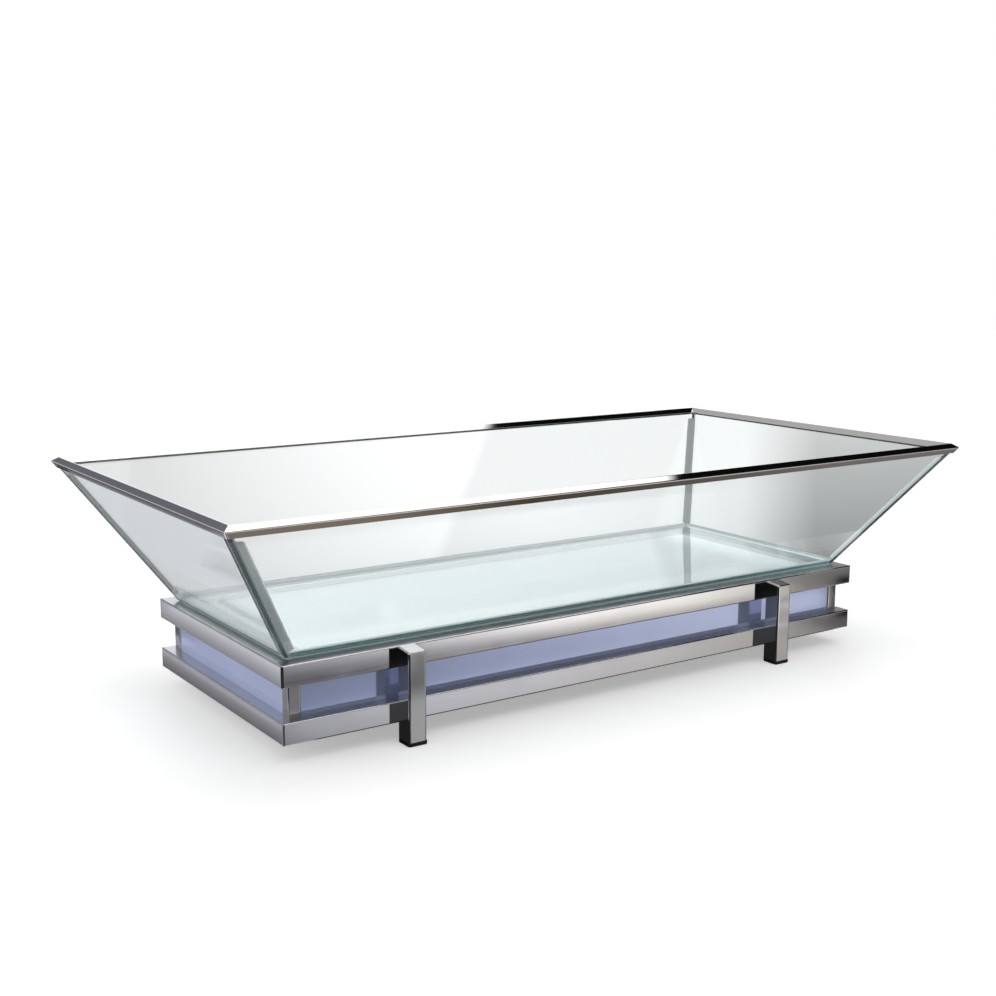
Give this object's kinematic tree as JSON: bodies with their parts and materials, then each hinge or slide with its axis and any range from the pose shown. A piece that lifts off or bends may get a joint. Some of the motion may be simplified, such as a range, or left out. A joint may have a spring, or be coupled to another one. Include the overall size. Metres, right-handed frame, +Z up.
{
  "type": "lit ice display trough",
  "caption": "Open glass trough with flared walls and a steel rim, loose on a low polished steel stand with a translucent light band, for desserts on ice at a buffet.",
  "frame": {"origin": "on the floor under the middle of the stand", "axes": "+X along the length, -Y to the front, +Z up; switch and inlet are at the back"},
  "size_m": [1.2874, 0.6434, 0.3444],
  "materials": {
    "polished_steel": "mirror-polished stainless box section",
    "rim_steel": "mirror-polished stainless channel",
    "tinted_acrylic": "translucent lavender acrylic sheet",
    "opal_acrylic": "opal acrylic sheet",
    "light_strip": "white flexible circuit with lamps",
    "float_glass": "clear float glass with ground edges",
    "ledge_aluminium": "mill finish",
    "black_plastic": "moulded, fine grain",
    "clear_silicone": "translucent silicone",
    "clear_pad": "clear soft pad",
    "cover_sheet": "galvanised sheet, painted grey",
    "screw_steel": "bright zinc",
    "lead_sheath": "flexible sheath",
    "switch_black": "moulded",
    "rocker_black": "moulded, glossy",
    "contact_brass": "tinned brass blade",
    "nut_nickel": "nickel plate",
    "grommet_rubber": "moulded"
  },
  "bodies": {
    "stand": {"bottom_cover": "cover_sheet", "corner_post_back_left": "polished_steel", "corner_post_back_right": "polished_steel", "corner_post_front_left": "polished_steel", "corner_post_front_right": "polished_steel", "cover_screws": "screw_steel", "diffuser": "opal_acrylic", "diffuser_ledge_back": "ledge_aluminium", "diffuser_ledge_front": "ledge_aluminium", "feed_grommet": "grommet_rubber", "feed_lead": "lead_sheath", "foot_back_left": "black_plastic", "foot_back_right": "black_plastic", "foot_front_left": "black_plastic", "foot_front_right": "black_plastic", "inlet": "switch_black", "inlet_lead": "lead_sheath", "inlet_nut": "nut_nickel", "leg_back_left": "polished_steel", "leg_back_right": "polished_steel", "leg_front_left": "polished_steel", "leg_front_right": "polished_steel", "light_panel_back": "tinted_acrylic", "light_panel_front": "tinted_acrylic", "light_panel_left": "tinted_acrylic", "light_panel_right": "tinted_acrylic", "light_strip_back": "light_strip", "light_strip_front": "light_strip", "light_strip_left": "light_strip", "light_strip_right": "light_strip", "lower_rail_back": "polished_steel", "lower_rail_front": "polished_steel", "lower_rail_left": "polished_steel", "lower_rail_right": "polished_steel", "strip_links": "lead_sheath", "support_pads": "clear_pad", "switch_blades": "contact_brass", "switch_housing": "switch_black", "upper_rail_back": "polished_steel", "upper_rail_front": "polished_steel", "upper_rail_left": "polished_steel", "upper_rail_right": "polished_steel"},
    "trough": {"corner_seal_back_left": "clear_silicone", "corner_seal_back_right": "clear_silicone", "corner_seal_front_left": "clear_silicone", "corner_seal_front_right": "clear_silicone", "floor_seal": "clear_silicone", "glass_back": "float_glass", "glass_floor": "float_glass", "glass_front": "float_glass", "glass_left": "float_glass", "glass_right": "float_glass", "rim_back": "rim_steel", "rim_front": "rim_steel", "rim_left": "rim_steel", "rim_right": "rim_steel"},
    "rocker": {"switch_rocker": "rocker_black"}
  },
  "joints": [
    {"name": "trough_lift", "type": "slide", "parent": "stand", "child": "trough", "axis": [0, 0, 1], "range_m": [0, 0.25]},
    {"name": "switch_tip", "type": "hinge", "parent": "stand", "child": "rocker", "pos_m": [0.44, 0.2102, 0.042], "axis": [0, 0, 1], "range_deg": [0, 20]}
  ]
}
